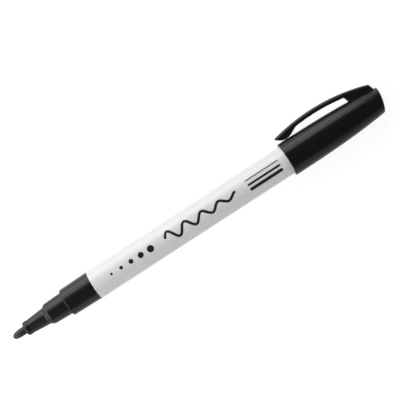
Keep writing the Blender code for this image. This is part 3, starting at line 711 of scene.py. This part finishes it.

# Pale card: lit like a wall, but near white to the eye and in reflections, with the shadow kept faint.
# Reflections show it brighter towards the large lamp, as a lit floor is: a painted glow, dim on the far
# side and bright on the lamp's side, stands in for that light.
card = dict(white=0.92, glow=0.84, shadow=0.30, lampSide=1.0, farSide=0.40, fade=0.03, near=0.20, far=0.50)
cardMaterial = bpy.data.materials.new("paleCard")
cardMaterial.use_nodes = True
cardTree = cardMaterial.node_tree
cardTree.nodes.clear()
light = addNode(cardTree, "ShaderNodeLightPath")
seen = addNode(cardTree, "ShaderNodeMath", {"operation": "MAXIMUM"},
               {0: light.outputs["Is Camera Ray"], 1: light.outputs["Is Glossy Ray"]})
seen = addNode(cardTree, "ShaderNodeMath", {"operation": "MAXIMUM"},
               {0: seen.outputs[0], 1: light.outputs["Is Transmission Ray"]})
lit = addNode(cardTree, "ShaderNodeBsdfDiffuse", {"Color": (card["white"],) * 3 + (1,)})
place = addNode(cardTree, "ShaderNodeTexCoord").outputs["Object"]
split = addNode(cardTree, "ShaderNodeSeparateXYZ", links={"Vector": place})
# painted light: the glow that reflections see, dim on the far side and bright on the lamp's side
paintedGlowInReflections = addNode(cardTree, "ShaderNodeMapRange",
                   {"From Min": -card["fade"], "From Max": card["fade"], "To Min": card["farSide"],
                    "To Max": card["lampSide"]}, {"Value": split.outputs["Y"]})
away = addNode(cardTree, "ShaderNodeVectorMath", {"operation": "LENGTH"}, {0: place})
faced = addNode(cardTree, "ShaderNodeMapRange",
                {"From Min": card["near"], "From Max": card["far"], "To Min": card["glow"], "To Max": 1.0},
                {"Value": away.outputs["Value"]})
level = addNode(cardTree, "ShaderNodeMapRange",
                links={"Value": light.outputs["Is Camera Ray"], "To Min": paintedGlowInReflections.outputs["Result"],
                       "To Max": faced.outputs["Result"]})
glow = addNode(cardTree, "ShaderNodeEmission", links={"Strength": level.outputs["Result"]})
shade = addNode(cardTree, "ShaderNodeBsdfDiffuse", {"Color": (card["shadow"],) * 3 + (1,)})
shown = addNode(cardTree, "ShaderNodeAddShader", links={0: glow.outputs[0], 1: shade.outputs[0]})
mixed = addNode(cardTree, "ShaderNodeMixShader",
                links={0: seen.outputs[0], 1: lit.outputs[0], 2: shown.outputs[0]})
addNode(cardTree, "ShaderNodeOutputMaterial", links={"Surface": mixed.outputs[0]})
sweepMesh.materials.append(cardMaterial)
print("floor ready")

# Lamps: a large soft box on the clip's side, a low fill facing it, and one past each end of the marker
lamps = dict(
    clipSide=dict(turn=107, rise=25, away=0.80, size=(1.18, 0.70), power=6.30),
    farSide=dict(turn=-120, rise=6, away=0.80, size=(1.3, 0.22), power=0.65),
    nibEnd=dict(turn=188, rise=34, away=0.55, size=(0.72, 0.32), power=2.6),
    crownEnd=dict(turn=-15, rise=22, away=0.90, size=(0.8, 0.36), power=1.1))
for name, lamp in lamps.items():
    lampData = bpy.data.lights.new(name, "AREA")
    lampData.shape = "RECTANGLE"
    lampData.size, lampData.size_y = lamp["size"]
    lampData.energy = lamp["power"]
    placed = bpy.data.objects.new(name, lampData)
    turnAt = math.radians(lamp["turn"])
    riseAt = math.radians(lamp["rise"])
    ground = lamp["away"] * math.cos(riseAt)
    high = lamp["away"] * math.sin(riseAt)
    placed.location = (ground * math.cos(turnAt), ground * math.sin(turnAt), high)
    placed.rotation_euler = (math.pi / 2 - riseAt, 0, turnAt + math.pi / 2)
    placed.visible_camera = False
    bpy.context.scene.collection.objects.link(placed)

studio = dict(grey=0.14)  # the dim room round the lamps
world = bpy.data.worlds.new("dimStudio")
world.use_nodes = True
world.node_tree.nodes["Background"].inputs["Color"].default_value = (studio["grey"],) * 3 + (1,)
bpy.context.scene.world = world

# Camera: straight above the marker, turned so that the nib points down and to the left
camera = dict(away=0.385, pixels=400, pixelSize=0.34, turn=-32.96, centre=(0.003852, 0.002679), sensor=36.0,
              nearest=0.01)
cameraData = bpy.data.cameras.new("camera")
cameraData.sensor_width = camera["sensor"]
cameraData.lens = camera["sensor"] * camera["away"] / (camera["pixels"] * camera["pixelSize"] * mm)
cameraData.clip_start = camera["nearest"]
cameraPlace = bpy.data.objects.new("camera", cameraData)
cameraPlace.location = (*camera["centre"], axisZ + camera["away"])
cameraPlace.rotation_euler = (0, 0, math.radians(camera["turn"]))
bpy.context.scene.collection.objects.link(cameraPlace)
bpy.context.scene.camera = cameraPlace
bpy.context.scene.view_settings.view_transform = "Standard"
print("lamps and camera ready")
